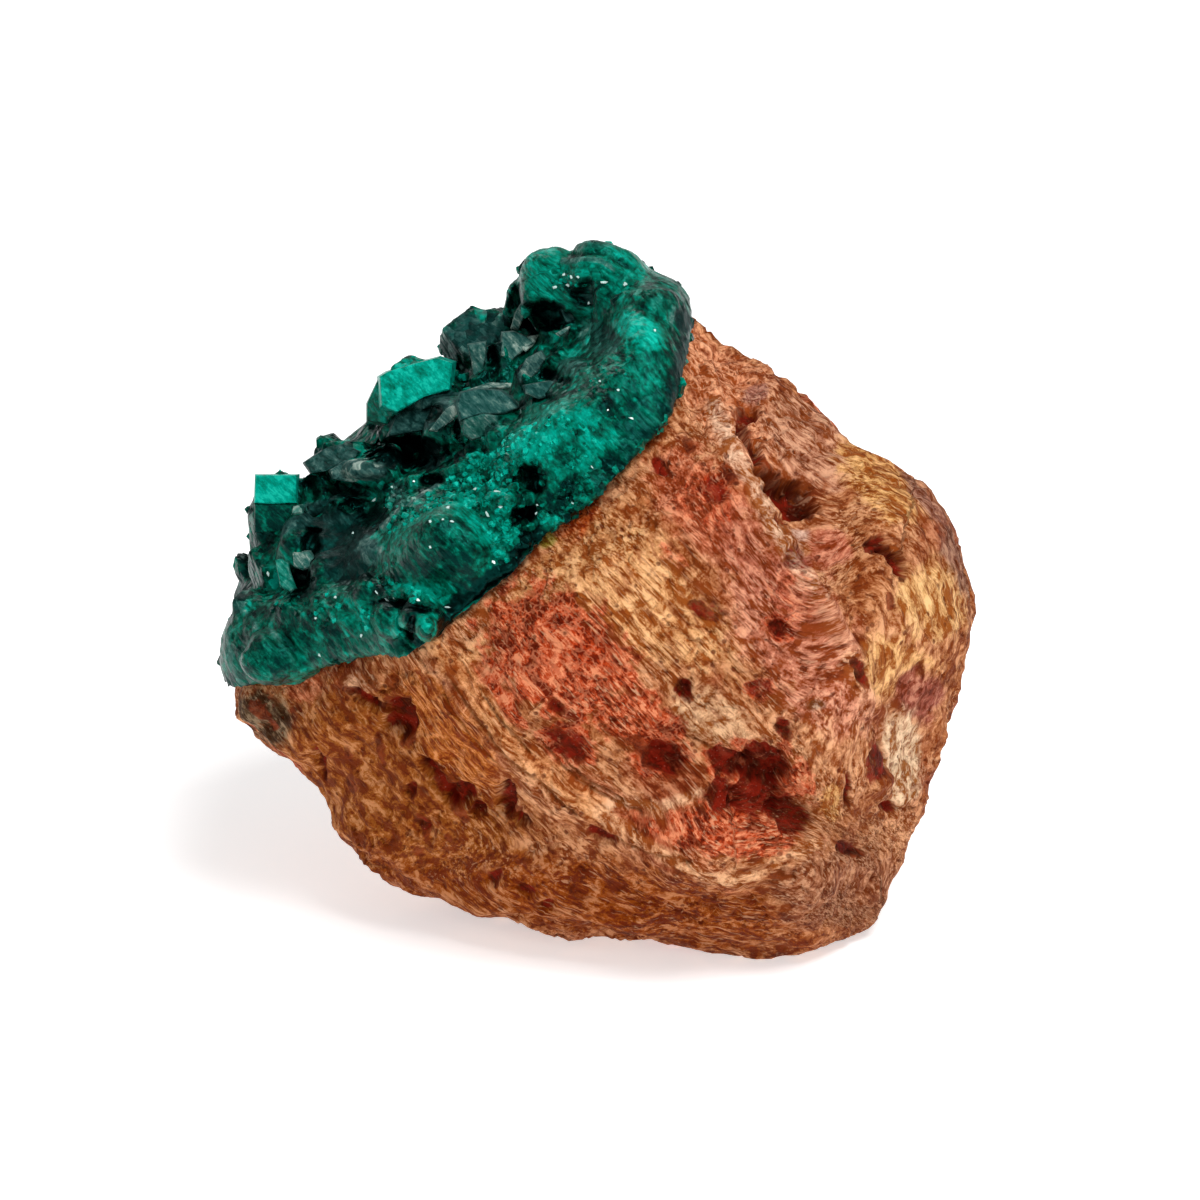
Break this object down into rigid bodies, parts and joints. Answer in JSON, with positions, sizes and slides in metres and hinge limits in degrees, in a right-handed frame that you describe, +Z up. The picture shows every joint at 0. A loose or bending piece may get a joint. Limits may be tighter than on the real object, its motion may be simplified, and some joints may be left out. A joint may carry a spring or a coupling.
{
  "type": "dioptase specimen",
  "caption": "Hand specimen of rough stone with a crust of green dioptase crystals grown over its sloping upper face, resting on a flat underside.",
  "frame": {"origin": "on the surface that the specimen rests on, under the middle of its box", "axes": "+X to the right as the specimen is shown, its longest way; +Y to the back; +Z up"},
  "size_m": [0.0604, 0.0454, 0.0539],
  "materials": {
    "stone": "rough, earthy and fibrous, stained orange, tan, ochre and dark red with iron",
    "dioptase": "glassy emerald green crystals, see-through at their edges, grey-green where dull"
  },
  "bodies": {
    "root": {"matrix": "stone", "dioptase_crust": "dioptase"}
  },
  "joints": []
}
